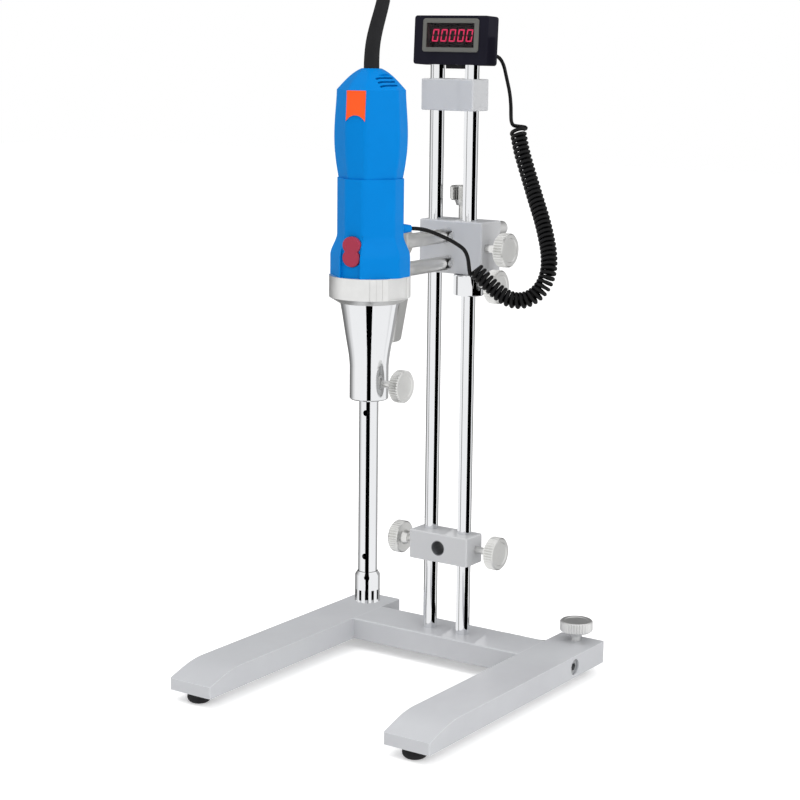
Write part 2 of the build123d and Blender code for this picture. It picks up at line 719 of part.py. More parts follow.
with BuildPart() as motor_cable_gland:
    disc(lead_gland_plane(-4.0), lead_gland_radius, 4.0)
    with BuildSketch(lead_gland_plane(0)):
        Circle(4.0)
    extrude(amount=lead_gland_out, taper=10)
finish(motor_cable_gland, "motor_cable_gland")

core_z = (388.0, 424.0)
core_radius = 20.6
core_bore = 14.0
with BuildPart() as field_stator:
    disc(tool_plane(core_z[0]), core_radius, core_z[1] - core_z[0])
    disc(tool_plane(core_z[0]), core_bore, core_z[1] - core_z[0], Mode.SUBTRACT)
finish(field_stator, "field_stator")

with BuildPart() as motor_bearings:
    for z in bearing_z:
        disc(tool_plane(z), bearing_radius, bearing_height)
        disc(tool_plane(z), shaft_radius + slide_clearance, bearing_height, Mode.SUBTRACT)
finish(motor_bearings, "motor_bearings")

spindle_z = (300.0, 485.0)
commutator_z = 445.0
commutator_radius = 10.0
with BuildPart() as armature:
    disc(tool_plane(spindle_z[0]), shaft_radius, spindle_z[1] - spindle_z[0])
    disc(tool_plane(core_z[0] + 1), core_bore - 0.5, core_z[1] - core_z[0] - 2)
    disc(tool_plane(commutator_z), commutator_radius, 14.0)
    with BuildSketch(tool_plane(commutator_z)):
        with PolarLocations(commutator_radius, 12):
            Rectangle(1.6, 0.7)
    extrude(amount=14.0, mode=Mode.SUBTRACT)
finish(armature, "armature")

with BuildPart() as brush_holders:
    for side in (-1, 1):
        with BuildSketch(facing(side * (commutator_radius + gap), tool_y, commutator_z + 7, (side, 0, 0))):
            Rectangle(8.0, 6.5)
        extrude(amount=cavity_radius - commutator_radius - 1.0)
finish(brush_holders, "brush_holders")

fan_z = 370.0
fan_blades = 8
with BuildPart() as cooling_fan:
    disc(tool_plane(fan_z), 7.5, 9.0)
    disc(tool_plane(fan_z), 19.5, 1.5)
    with BuildSketch(tool_plane(fan_z + 1.5)):
        with PolarLocations(12.8, fan_blades):
            Rectangle(12.0, 1.4, rotation=35)
    extrude(amount=7.0)
    disc(tool_plane(fan_z), shaft_radius, 9.0, Mode.SUBTRACT)
finish(cooling_fan, "cooling_fan")

# ---- collar and cone ----------------------------------------------------------------
cone_top_radius = 23.7
cone_neck_radius = 15.65
cone_neck_z = 279.7
cone_lock_z = 266.1
chamber_z = 286.5  # above it the cone is hollow, round the spindle coupling
head_bore = tube_diameter / 2 + slide_clearance

collar_pocket_turn = -10.0  # from +X
collar_pocket = (5.0, 21.0, 16.8)  # twice its depth, its width and its height from the collar's top
collar_slits = ((-55.0, 3.0, 0.6), (-46.0, 1.0, 0.5), (-37.2, 1.0, 0.5))  # turn, twice the depth, width
with BuildPart() as nose_collar:
    with BuildSketch(Plane(origin=(0, tool_y, 0), x_dir=(1, 0, 0), z_dir=(0, -1, 0))):
        with BuildLine():
            Polyline(
                (neck_radius, collar_z[0]),
                (25.0, collar_z[0]),
                (collar_radius, collar_z[0] + 4.5),
                (collar_radius, collar_z[1]),
                (bearing_radius, collar_z[1]),
                (bearing_radius, bearing_z[0]),
                (neck_radius, bearing_z[0]),
                (neck_radius, collar_z[0]),
            )
        make_face()
    revolve(axis=Axis((0, tool_y, 0), (0, 0, 1)))
    # the pocket on the right, and the fine slits between it and the front
    pocket = tool_plane(collar_z[1] - collar_pocket[2]).rotated((0, 0, collar_pocket_turn))
    with BuildSketch(pocket) as pocket_outline:
        with Locations((collar_radius, 0)):
            Rectangle(collar_pocket[0], collar_pocket[1])
    extrude(pocket_outline.sketch, amount=collar_pocket[2], mode=Mode.SUBTRACT)
    for turn, depth, width in collar_slits:
        with BuildSketch(tool_plane(collar_z[0] + 5.0).rotated((0, 0, turn))) as slit:
            with Locations((collar_radius, 0)):
                Rectangle(depth, width)
        extrude(slit.sketch, amount=collar_z[1] - collar_z[0], mode=Mode.SUBTRACT)
    for x in (-6.5, 6.5):
        disc(facing(x, flange_y[1], 337.0, (0, -1, 0)), 2.0, 14.0, Mode.SUBTRACT)
finish(nose_collar, "nose_collar")

with BuildPart() as cone:
    with BuildSketch(Plane(origin=(0, tool_y, 0), x_dir=(1, 0, 0), z_dir=(0, -1, 0))):
        with BuildLine():
            Polyline((0, cone_bottom), (cone_neck_radius - 1, cone_bottom), (cone_neck_radius, cone_bottom + 1))
            Line((cone_neck_radius, cone_bottom + 1), (cone_neck_radius, cone_neck_z))
            Spline(
                (cone_neck_radius, cone_neck_z),
                (19.0, 303.5),
                (cone_top_radius, collar_z[0]),
                tangents=((0.05, 1), (0.22, 1)),
            )
            Polyline((cone_top_radius, collar_z[0]), (0, collar_z[0]), (0, cone_bottom))
        make_face()
    revolve(axis=Axis((0, tool_y, 0), (0, 0, 1)))
    disc(tool_plane(cone_bottom), head_bore, chamber_z - cone_bottom, Mode.SUBTRACT)
    disc(tool_plane(chamber_z), 12.0, collar_z[0] - chamber_z, Mode.SUBTRACT)
    disc(facing(cone_neck_radius, tool_y, cone_lock_z, (-1, 0, 0)), thumb_bore, 10.0, Mode.SUBTRACT)
finish(cone, "cone")

cone_knob_out = 20.0
thumbscrew(
    "cone_thumbscrew",
    facing(cone_neck_radius, tool_y, cone_lock_z, (1, 0, 0)),
    cone_knob_out,
    cone_neck_radius - head_bore - lock_tip,
    radius=13.1,
    thickness=8.5,
)

# ---- working head -------------------------------------------------------------------
tube_z = (106.0, 286.0)
tube_bore = 6.0
cross_hole_radius = 2.5
cross_holes = (123.1, 242.1)
head_radius = 10.2
slot_count = 12
slot_width = 2.3
slot_height = 10.4
rotor_shaft_radius = 3.0
bush_z = (108.0, 268.0)

with BuildPart() as outer_tube:
    disc(tool_plane(tube_z[0]), tube_diameter / 2, tube_z[1] - tube_z[0])
    disc(tool_plane(tube_z[0]), tube_bore, tube_z[1] - tube_z[0], Mode.SUBTRACT)
    turn = radians(hole_turn)
    for z in cross_holes:
        through = Plane(origin=(0, tool_y, z), x_dir=(cos(turn), sin(turn), 0), z_dir=(sin(turn), -cos(turn), 0))
        disc(through, cross_hole_radius, tube_diameter, Mode.SUBTRACT)
finish(outer_tube, "outer_tube")

with BuildPart() as stator_head:
    with BuildSketch(Plane(origin=(0, tool_y, 0), x_dir=(1, 0, 0), z_dir=(0, -1, 0))):
        with BuildLine():
            Polyline(
                (8.2, stator_z[0]),
                (head_radius, stator_z[0]),
                (head_radius, stator_z[1] - 3.2),
                (tube_diameter / 2 + 0.4, stator_z[1]),
                (tube_diameter / 2, stator_z[1]),
                (tube_diameter / 2, tube_z[0]),
                (tube_bore, tube_z[0]),
                (tube_bore, tube_z[0] - 5.0),
                (8.2, tube_z[0] - 7.0),
                (8.2, stator_z[0]),
            )
        make_face()
    revolve(axis=Axis((0, tool_y, 0), (0, 0, 1)))
    with BuildSketch(tool_plane(stator_z[0])):
        with PolarLocations(head_radius, slot_count):
            Rectangle(6.0, slot_width)
    extrude(amount=slot_height, mode=Mode.SUBTRACT)
finish(stator_head, "stator_head")

with BuildPart() as shaft_bushes:
    for z in bush_z:
        disc(tool_plane(z), tube_bore, 8.0)
        disc(tool_plane(z), rotor_shaft_radius + slide_clearance, 8.0, Mode.SUBTRACT)
finish(shaft_bushes, "shaft_bushes")

with BuildPart() as head_shaft:
    disc(tool_plane(stator_z[0] + 2.0), rotor_shaft_radius, 200.0)
    with BuildSketch(tool_plane(stator_z[0] + 202.0)):
        Rectangle(4.0, 4.0)
    extrude(amount=12.0)
finish(head_shaft, "head_shaft")

rotor_radius = 7.9
with BuildPart() as rotor:
    disc(tool_plane(stator_z[0] + 1.0), 4.6, 12.5)
    with BuildSketch(tool_plane(stator_z[0] + 1.0)):
        Rectangle(2 * rotor_radius, 3.2)
        Rectangle(3.2, 2 * rotor_radius)
        with Locations(Location((0, 0, 0))):
            Circle(rotor_radius, mode=Mode.INTERSECT)
    extrude(amount=11.0)
    disc(tool_plane(stator_z[0] + 1.0), rotor_shaft_radius, 12.5, Mode.SUBTRACT)
finish(rotor, "rotor")

with BuildPart() as spindle_coupling:
    disc(tool_plane(287.5), 9.0, 24.0)
    disc(tool_plane(300.0), shaft_radius, 12.0, Mode.SUBTRACT)
    with BuildSketch(tool_plane(286.0)):
        Rectangle(4.3, 4.3)
    extrude(amount=14.0, mode=Mode.SUBTRACT)
finish(spindle_coupling, "spindle_coupling")

# ---- cords --------------------------------------------------------------------------
boot_radii = (6.15, 5.25)
boot_end = Vector(5.6, -43.5, 568.0)
boot_direction = Vector(-0.004, 0.3495, 0.937)

with BuildPart() as mains_strain_relief:
    disc(tool_plane(motor_top - 6.0), boot_hole_radius, 6.0)
    with BuildLine() as boot_path:
        Spline(
            (0, tool_y, motor_top),
            (0.6, tool_y + 0.9, motor_top + 19.0),
            boot_end,
            tangents=((0, 0, 1), boot_direction),
        )
    with BuildSketch(tool_plane(motor_top)) as boot_low:
        Circle(boot_radii[0])
    with BuildSketch(Plane(origin=boot_end, z_dir=boot_path.line % 1)) as boot_high:
        Circle(boot_radii[1])
    sweep([boot_low.sketch, boot_high.sketch], path=boot_path.line, multisection=True)
finish(mains_strain_relief, "mains_strain_relief")


def arc_radii(points):
    """The largest radius that the two runs at each corner of a route leave room for."""
    corners = [Vector(*point) for point in points]
    runs = [after - before for before, after in zip(corners, corners[1:])]
    radii = []
    for before, after in zip(runs, runs[1:]):
        turn = radians(before.get_angle(after))
        radii.append(0.45 * min(before.length, after.length) / tan(turn / 2))
    return radii


def cord_tube(name, points, diameter):
    radii = arc_radii(points)
    with BuildPart() as tube:
        with BuildLine() as route:
            FilletPolyline(*points, radius=radii)
        with BuildSketch(Plane(origin=route.line @ 0, z_dir=route.line % 0)) as section:
            Circle(diameter / 2)
        sweep(section.sketch, path=route.line)
    length = sum(edge.length for edge in route.line.edges())
    share = tube.part.volume / (pi * diameter**2 / 4 * length)
    print(name, "length", round(length), "volume share", round(share, 4))
    print("  radii", [round(radius) for radius in radii])
    finish(tube, name)


cord_tube(
    "curly_cord_top_lead",
    [
        (24.0, 84.95, 524.96),
        (24.0, 95.95, 524.38),
        (30.0, 104.5, 513.0),
        (37.5, 102.5, 499.0),
        (44.0, 93.5, 489.0),
        (50.65, 82.84, 480.05),
        (54.35, 80.1, 473.3),
    ],
    curly_diameter,
)
cord_tube(
    "curly_cord_coil",
    [
        (54.5, 80.0, 473.0),
        (60.6, 75.5, 461.9),
        (64.5, 73.0, 448.0),
        (71.0, 70.0, 434.0),
        (77.8, 67.0, 421.0),
        (85.2, 63.0, 408.0),
        (92.5, 59.0, 396.0),
        (99.5, 54.0, 384.0),
        (106.0, 48.5, 371.0),
        (109.5, 43.0, 358.0),
        (107.5, 36.0, 346.0),
        (101.5, 30.0, 338.0),
        (92.0, 24.5, 334.5),
        (82.5, 20.5, 337.5),
        (74.0, 17.5, 343.5),
        (66.0, 15.3, 350.0),
        (58.7, 12.5, 356.2),
    ],
    curly_coil_diameter,
)
cord_tube(
    "curly_cord_bottom_lead",
    [
        (58.4, 12.39, 356.45),
        (51.85, 9.88, 362.0),
        (48.5, 2.0, 371.5),
        (43.5, -6.5, 379.5),
        (38.0, -15.0, 385.5),
        (31.57, -23.75, 389.95),
        (25.55, -30.92, 390.0),
    ],
    curly_diameter,
)

cord_tube(
    "mains_cord",
    [
        (5.6, -43.4, 568.27),
        (5.5, -33.8, 594.0),
        (0.6, -17.5, 619.4),
        (-11.5, 4.4, 634.5),
        (-28.0, 27.0, 632.0),
        (-46.4, 44.6, 613.0),
        (-63.5, 55.8, 579.0),
        (-79.7, 66.4, 533.0),
        (-91.8, 79.9, 473.0),
        (-103.9, 95.9, 398.0),
        (-112.2, 109.6, 321.0),
        (-119.5, 119.1, 244.0),
        (-124.4, 125.5, 174.0),
        (-126.8, 129.9, 115.0),
        (-128.2, 133.2, 69.0),
        (-128.2, 131.4, 40.0),
        (-124.0, 130.4, 27.0),
        (-116.0, 129.4, 16.0),
        (-105.0, 128.7, 8.0),
        (-92.0, 128.3, 3.8),
        (-78.2, 128.3, 3.8),
    ],
    mains_diameter,
)

hank_middle_y = 114.5
hank_height = 2 * mains_diameter
hank_corner = 4.0
# x and width of the hank's sections on each side of its tie
hank_left = ((-78.0, 35.0), (-60.0, 37.0), (-38.0, 29.0), (-16.0, 22.5))
hank_right = ((-8.0, 22.5), (16.0, 29.0), (42.0, 37.0), (58.0, 30.0))
tie_x = (hank_left[-1][0], hank_right[0][0])
tie_thickness = 1.2
tail = (Vector(36.0, 126.0, mains_diameter), Vector(49.9, 137.0, 7.0))  # the loose end that runs to the plug


def hank_section(x, width, inset=0.0):
    """The hank's section at x, with all sides brought in by the inset."""
    with BuildSketch(Plane.YZ.offset(x)) as section:
        with Locations((hank_middle_y, hank_height / 2)):
            RectangleRounded(width - 2 * inset, hank_height - 2 * inset, hank_corner - inset)
    return section.sketch


waist = hank_left[-1][1]
with BuildPart() as mains_cord_hank:
    for half in (hank_left, hank_right):
        loft([hank_section(x, width) for x, width in half], ruled=True)
    extrude(hank_section(tie_x[0], waist, tie_thickness), amount=tie_x[1] - tie_x[0])
    run = tail[1] - tail[0]
    disc(Plane(origin=tail[0], z_dir=run.normalized()), mains_diameter / 2, run.length)
finish(mains_cord_hank, "mains_cord_hank")

with BuildPart() as hank_tie:
    extrude(hank_section(tie_x[0], waist), amount=tie_x[1] - tie_x[0])
    extrude(hank_section(tie_x[0], waist, tie_thickness), amount=tie_x[1] - tie_x[0], mode=Mode.SUBTRACT)
finish(hank_tie, "hank_tie")

plug_y = 137.0
plug_z = 7.0
plug_relief_x = 52.5
plug_body_x = (68.0, 88.0)
plug_body = (22.0, 14.0)
pin_length = 15.0
pin_pitch = 12.7
with BuildPart() as mains_plug:
    with BuildSketch(Plane.YZ.offset(plug_relief_x)) as relief_low:
        with Locations((plug_y, plug_z)):
            Circle(4.6)
    with BuildSketch(Plane.YZ.offset(plug_body_x[0])) as relief_high:
        with Locations((plug_y, plug_z)):
            Circle(6.0)
    loft([relief_low.sketch, relief_high.sketch])
    with BuildSketch(Plane.YZ.offset(plug_body_x[0])):
        with Locations((plug_y, plug_z)):
            RectangleRounded(*plug_body, 4.0)
    extrude(amount=plug_body_x[1] - plug_body_x[0])
    with BuildSketch(Plane.YZ.offset(plug_body_x[1])):
        for y in (plug_y - pin_pitch / 2, plug_y + pin_pitch / 2):
            with Locations((y, plug_z)):
                Rectangle(1.5, 6.3)
    extrude(amount=pin_length)
finish(mains_plug, "mains_plug")
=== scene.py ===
from math import cos, pi, radians, sin

import bmesh
import bpy
from mathutils import Matrix, Vector


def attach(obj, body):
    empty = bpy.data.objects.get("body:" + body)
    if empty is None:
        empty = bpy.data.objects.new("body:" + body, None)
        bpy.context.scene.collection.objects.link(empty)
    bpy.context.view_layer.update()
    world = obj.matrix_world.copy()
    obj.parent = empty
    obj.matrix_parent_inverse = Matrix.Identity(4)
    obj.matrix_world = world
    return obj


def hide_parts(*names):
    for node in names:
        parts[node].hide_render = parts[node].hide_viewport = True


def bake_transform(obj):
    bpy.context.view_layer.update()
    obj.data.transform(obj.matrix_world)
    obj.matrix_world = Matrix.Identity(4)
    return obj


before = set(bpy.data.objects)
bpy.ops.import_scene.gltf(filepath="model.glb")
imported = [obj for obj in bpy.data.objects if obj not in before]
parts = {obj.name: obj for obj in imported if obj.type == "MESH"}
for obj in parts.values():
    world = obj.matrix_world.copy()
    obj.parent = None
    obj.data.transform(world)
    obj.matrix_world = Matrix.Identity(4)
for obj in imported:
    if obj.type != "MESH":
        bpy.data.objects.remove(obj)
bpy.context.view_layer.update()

# Rotor stator homogenizer on its two-rod stand: finishes, cords, display digits and studio.
# Metres, +Z up. The tool hangs in front (-Y) of the rods.

scene = bpy.context.scene


def mm(*point):
    return Vector([value / 1000 for value in point])


def tone(red, green, blue):
    # screen colour (0-255) to the shader's linear values
    def linear(value):
        share = value / 255
        return share / 12.92 if share <= 0.04045 else ((share + 0.055) / 1.055) ** 2.4
    return (linear(red), linear(green), linear(blue))


# --- node helpers: each adds one kind of detail to a principled shader ---

def newFinish(name, colour, roughness, metallic=0.0, **sockets):
    material = bpy.data.materials.new(name)
    material.use_nodes = True
    shader = material.node_tree.nodes["Principled BSDF"]
    shader.inputs["Base Color"].default_value = (*colour, 1)
    shader.inputs["Roughness"].default_value = roughness
    shader.inputs["Metallic"].default_value = metallic
    for label, value in sockets.items():
        shader.inputs[label.replace("_", " ")].default_value = value
    return material


def shaderOf(material):
    return material.node_tree.nodes["Principled BSDF"]


def addNode(material, kind, **settings):
    node = material.node_tree.nodes.new(kind)
    for label, value in settings.items():
        setattr(node, label, value)
    return node


def wire(material, source, output, target, entry):
    material.node_tree.links.new(source.outputs[output], target.inputs[entry])


def objectCoords(material, stretch=(1, 1, 1)):
    coords = addNode(material, "ShaderNodeTexCoord")
    mapping = addNode(material, "ShaderNodeMapping")
    mapping.inputs["Scale"].default_value = stretch
    wire(material, coords, "Object", mapping, "Vector")
    return mapping


def noiseOf(material, scale, detail=4.0, stretch=(1, 1, 1), roughness=0.55):
    noise = addNode(material, "ShaderNodeTexNoise")
    noise.inputs["Scale"].default_value = scale
    noise.inputs["Detail"].default_value = detail
    noise.inputs["Roughness"].default_value = roughness
    wire(material, objectCoords(material, stretch), "Vector", noise, "Vector")
    return noise


def spread(material, source, output, low, high, fromLow=0.3, fromHigh=0.7):
    ranged = addNode(material, "ShaderNodeMapRange")
    ranged.inputs["From Min"].default_value = fromLow
    ranged.inputs["From Max"].default_value = fromHigh
    ranged.inputs["To Min"].default_value = low
    ranged.inputs["To Max"].default_value = high
    wire(material, source, output, ranged, "Value")
    return ranged


def mixColour(material, factor, output, first, second):
    mixer = addNode(material, "ShaderNodeMix", data_type="RGBA")
    mixer.inputs[6].default_value = (*first, 1)
    mixer.inputs[7].default_value = (*second, 1)
    wire(material, factor, output, mixer, 0)
    return mixer


def mottle(material, scale, first, second, stretch=(1, 1, 1)):
    # two near colours drift into each other
    noise = noiseOf(material, scale, stretch=stretch)
    mixer = mixColour(material, spread(material, noise, "Fac", 0, 1), "Result", first, second)
    wire(material, mixer, 2, shaderOf(material), "Base Color")
    return mixer


def varyGloss(material, scale, low, high, stretch=(1, 1, 1)):
    noise = noiseOf(material, scale, stretch=stretch)
    wire(material, spread(material, noise, "Fac", low, high), "Result", shaderOf(material), "Roughness")


def addBump(material, heights, distance, strength=0.5):
    # heights is a list of (node, output), each laid over the one before
    last = None
    for node, output in heights:
        bump = addNode(material, "ShaderNodeBump")
        bump.inputs["Strength"].default_value = strength
        bump.inputs["Distance"].default_value = distance
        wire(material, node, output, bump, "Height")
        if last is not None:
            wire(material, last, "Normal", bump, "Normal")
        last = bump
    wire(material, last, "Normal", shaderOf(material), "Normal")
    return last


def edgeMask(material, radius):
    # near 1 on sharp edges, 0 on open faces
    rounded = addNode(material, "ShaderNodeBevel", samples=4)
    rounded.inputs["Radius"].default_value = radius
    flat = addNode(material, "ShaderNodeNewGeometry")
    dot = addNode(material, "ShaderNodeVectorMath", operation="DOT_PRODUCT")
    wire(material, rounded, "Normal", dot, 0)
    wire(material, flat, "Normal", dot, 1)
    return spread(material, dot, "Value", 1, 0, 0.86, 0.995)


# --- finishes ---

# the open face, its slightly darker drift and the paler edge, a painted edge highlight
standEnamel = {"face": tone(194, 196, 199), "shade": tone(188, 189, 193), "edge": tone(216, 218, 221)}
blockEnamel = {"face": tone(196, 197, 199), "shade": tone(189, 190, 193), "edge": tone(222, 223, 225)}
chrome = tone(238, 239, 241)


def makeEnamel(name, face, shade, edge):
    # stand enamel: satin, faint orange peel, paler along the edges as a painted highlight
    material = newFinish(name, face, 0.42, Coat_Weight=0.25, Coat_Roughness=0.3)
    drift = noiseOf(material, 14)
    base = mixColour(material, spread(material, drift, "Fac", 0, 1), "Result", face, shade)
    # painted highlight: sharp edges are painted paler, where the light catches them
    paintedEdgeHighlight = mixColour(material, edgeMask(material, 0.0007), "Result", face, edge)
    wire(material, base, 2, paintedEdgeHighlight, 6)
    wire(material, paintedEdgeHighlight, 2, shaderOf(material), "Base Color")
    varyGloss(material, 40, 0.36, 0.5)
    addBump(material, [(noiseOf(material, 900, 2), "Fac"), (noiseOf(material, 260, 2), "Fac")], 0.00006, 0.35)
    return material


def makeSatinMetal(name, colour, roughness=0.3, grain=1500, squeeze=(1, 1, 0.03)):
    # turned or brushed aluminium: fine lines and a soft, uneven sheen
    material = newFinish(name, colour, roughness, metallic=1.0)
    dark = tuple(value * 0.9 for value in colour)
    mottle(material, 60, colour, dark)
    varyGloss(material, 90, roughness * 0.85, roughness * 1.2)
    lines = noiseOf(material, grain, 3, stretch=squeeze)
    addBump(material, [(lines, "Fac")], 0.00004, 0.3)
    return material


def makePolishedSteel(name, colour):
    # hard chrome with the faintest polishing marks
    material = newFinish(name, colour, 0.06, metallic=1.0)
    mottle(material, 22, colour, tuple(value * 0.97 for value in colour))
    varyGloss(material, 160, 0.03, 0.07, stretch=(1, 1, 0.15))
    addBump(material, [(noiseOf(material, 2200, 2, stretch=(1, 1, 0.04)), "Fac")], 0.000002, 0.05)
    return material


def makeMoulded(name, colour, second, roughness, grain=1400, depth=0.00005, shine=0.35):
    # moulded plastic with a fine spark-eroded grain
    material = newFinish(name, colour, roughness, Specular_IOR_Level=shine)
    mottle(material, 18, colour, second)
    varyGloss(material, 70, roughness * 0.85, roughness * 1.15)
    cells = addNode(material, "ShaderNodeTexVoronoi")
    cells.inputs["Scale"].default_value = grain
    wire(material, objectCoords(material), "Vector", cells, "Vector")
    addBump(material, [(cells, "Distance"), (noiseOf(material, 300, 3), "Fac")], depth, 0.4)
    return material


def makeRubber(name, colour):
    material = newFinish(name, colour, 0.6, Specular_IOR_Level=0.25)
    mottle(material, 45, colour, tuple(value * 1.5 for value in colour))
    varyGloss(material, 120, 0.5, 0.7)
    addBump(material, [(noiseOf(material, 1100, 4), "Fac")], 0.00005, 0.5)
    return material


def paintShadeInHollow(material, middle, along, reach, dark):
    # painted shade: the hollow within reach of an axis is painted dark, standing in for the shade that falls
    # inside it
    shader = shaderOf(material)
    coords = addNode(material, "ShaderNodeTexCoord")
    shifted = addNode(material, "ShaderNodeVectorMath", operation="SUBTRACT")
    shifted.inputs[1].default_value = middle
    wire(material, coords, "Object", shifted, 0)
    flat = addNode(material, "ShaderNodeVectorMath", operation="MULTIPLY")
    flat.inputs[1].default_value = tuple(1 - value for value in along)
    wire(material, shifted, "Vector", flat, 0)
    distance = addNode(material, "ShaderNodeVectorMath", operation="LENGTH")
    wire(material, flat, "Vector", distance, 0)
    hollowShadeMask = spread(material, distance, "Value", 0, 1, reach - 0.0001, reach + 0.0001)
    painted = shader.inputs["Base Color"].links[0].from_socket
    # the painted shade colour is mixed in over the surface's own colour inside the hollow
    mixer = mixColour(material, hollowShadeMask, "Result", dark, dark)
    material.node_tree.links.new(painted, mixer.inputs[7])
    wire(material, mixer, 2, shader, "Base Color")
    return material


# painted shade in the hollows: round the tool's axis inside the slotted head, and round the lower block's
# accessory bore
statorHollowShade = {"middle": (0, -0.0511, 0), "along": (0, 0, 1), "reach": 0.0083, "dark": tone(14, 14, 15)}
boreHollowShade = {"middle": (0, 0, 0.10525), "along": (0, 1, 0), "reach": 0.0066, "dark": tone(96, 98, 101)}
finishes = {
    "baseEnamel": makeEnamel("baseEnamel", **standEnamel),
    "blockEnamel": makeEnamel("blockEnamel", **blockEnamel),
    "satinAluminium": makeSatinMetal("satinAluminium", tone(232, 232, 230), 0.32),
    "collarMetal": makeSatinMetal("collarMetal", tone(240, 240, 239), 0.42),
    # the stator head's polished steel, with painted shade inside its hollow round the tool's axis
    "hollowShadeStatorSteel": paintShadeInHollow(makePolishedSteel("hollowShadeStatorSteel", chrome), **statorHollowShade),
    "shadowSteel": makeSatinMetal("shadowSteel", tone(40, 40, 42), 0.4),
    # the lower block's enamel, with painted shade inside its accessory bore
    "hollowShadeBoredEnamel": paintShadeInHollow(makeEnamel("hollowShadeBoredEnamel", **blockEnamel), **boreHollowShade),
    "polishedSteel": makePolishedSteel("polishedSteel", chrome),
    "zincSteel": makeSatinMetal("zincSteel", tone(190, 192, 194), 0.35, 700, (1, 1, 1)),
    "coreSteel": makeSatinMetal("coreSteel", tone(120, 120, 122), 0.5, 500, (1, 1, 4)),
    "blackRubber": makeRubber("blackRubber", tone(18, 18, 20)),
    "cableJacket": makeMoulded("cableJacket", tone(4, 4, 5), tone(8, 8, 10), 0.34, 700, 0.00003, 0.2),
    "blackPlastic": makeMoulded("blackPlastic", tone(14, 14, 16), tone(21, 21, 23), 0.5, shine=0.2),
    "motorBlue": makeMoulded("motorBlue", tone(0, 122, 201), tone(0, 126, 206), 0.42, shine=0.05),
    "labelOrange": makeMoulded("labelOrange", tone(255, 78, 0), tone(250, 88, 14), 0.45, 2200, 0.00002),
    "switchRed": makeMoulded("switchRed", tone(166, 56, 78), tone(156, 50, 71), 0.32, 2600, 0.00002, 0.15),
    "caseBlack": makeMoulded("caseBlack", tone(22, 21, 31), tone(27, 26, 37), 0.45, shine=0.07),
    "bezelGrey": makeMoulded("bezelGrey", tone(108, 108, 102), tone(96, 96, 92), 0.5),
    "bushWhite": makeMoulded("bushWhite", tone(232, 230, 222), tone(222, 220, 212), 0.4),
}


def makeWindow(name, colour):
    # clear dark acrylic with the faintest unevenness
    material = newFinish(name, colour, 0.03, Transmission_Weight=1.0, IOR=1.2, Specular_IOR_Level=0.2)
    mottle(material, 30, colour, tuple(value * 0.92 for value in colour))
    varyGloss(material, 80, 0.02, 0.05)
    return material


def makeGlowing(name, colour, strength):
    material = newFinish(name, colour, 0.5)
    mottle(material, 400, colour, tuple(value * 0.9 for value in colour))
    shaderOf(material).inputs["Emission Color"].default_value = (*colour, 1)
    shaderOf(material).inputs["Emission Strength"].default_value = strength
    return material


finishes["windowClear"] = makeWindow("windowClear", (0.75, 0.6, 0.65))
finishes["digitGlow"] = makeGlowing("digitGlow", tone(236, 52, 104), 0.85)
print("finishes ready:", len(finishes))

wears = {
    "baseEnamel": ("left_leg", "right_leg", "crossbar"),
    "blockEnamel": ("carriage_block", "upper_block"),
    "hollowShadeBoredEnamel": ("lower_block",),
    "satinAluminium": (
        "lower_left_thumbscrew", "lower_right_thumbscrew", "carriage_left_thumbscrew",
        "carriage_right_thumbscrew", "arm_lock_thumbscrew", "stop_ring_thumbscrew",
        "cone_thumbscrew", "tool_bracket",
    ),
    "collarMetal": ("levelling_screw", "nose_collar", "lower_arm", "upper_arm"),
    "hollowShadeStatorSteel": ("stator_head",),
    "shadowSteel": ("rotor", "head_shaft", "display_bracket"),
    "polishedSteel": ("left_rod", "right_rod", "cone", "outer_tube", "stop_ring"),
    "zincSteel": (
        "crossbar_bolts", "rod_bolts", "upper_block_set_screws", "bracket_screws", "motor_bearings",
    ),
    "coreSteel": ("field_stator", "armature"),
    "blackRubber": ("rubber_feet", "levelling_pad", "display_cable_gland", "mains_strain_relief"),
    "blackPlastic": ("brush_holders", "cooling_fan", "spindle_coupling", "hank_tie", "display_board"),
    "windowClear": ("display_window",),
    "cableJacket": ("mains_plug",),
    "motorBlue": ("motor_lower_housing", "motor_upper_housing", "switch_box", "motor_cable_gland"),
    "labelOrange": ("label_plate",),
    "switchRed": ("switch_rocker",),
    "caseBlack": ("display_case", "display_back_cover"),
    "bezelGrey": ("display_bezel",),
    "bushWhite": ("shaft_bushes",),
}


def dress(piece, finish):
    piece.data.materials.clear()
    piece.data.materials.append(finishes[finish])


for finish, names in wears.items():
    for name in names:
        dress(parts[name], finish)


# --- mesh helpers ---

def newPiece(name, mesh, finish):
    piece = bpy.data.objects.new(name, mesh)
    scene.collection.objects.link(piece)
    piece.data.materials.append(finishes[finish])
    return piece


def meshFrom(name, vertices, faces, smooth=True):
    mesh = bpy.data.meshes.new(name)
    mesh.from_pydata([tuple(vertex) for vertex in vertices], [], faces)
    mesh.update()
    for polygon in mesh.polygons:
        polygon.use_smooth = smooth
    return mesh


def cordLine(points, fineness=12):
    # the cord's own line: a NURBS spline with the route's points as its control points
    curve = bpy.data.curves.new("route", "CURVE")
    curve.dimensions = "3D"
    curve.resolution_u = fineness
    spline = curve.splines.new("NURBS")
    spline.points.add(len(points) - 1)
    for place, point in zip(spline.points, points):
        place.co = (*point, 1)
    spline.order_u = 3
    spline.use_endpoint_u = True
    holder = bpy.data.objects.new("route", curve)
    scene.collection.objects.link(holder)
    bpy.context.view_layer.update()
    mesh = bpy.data.meshes.new_from_object(holder)
    line = [vertex.co.copy() for vertex in mesh.vertices]
    bpy.data.objects.remove(holder)
    bpy.data.meshes.remove(mesh)
    bpy.data.curves.remove(curve)
    return line


def lineLength(line):
    return sum((after - before).length for before, after in zip(line, line[1:]))


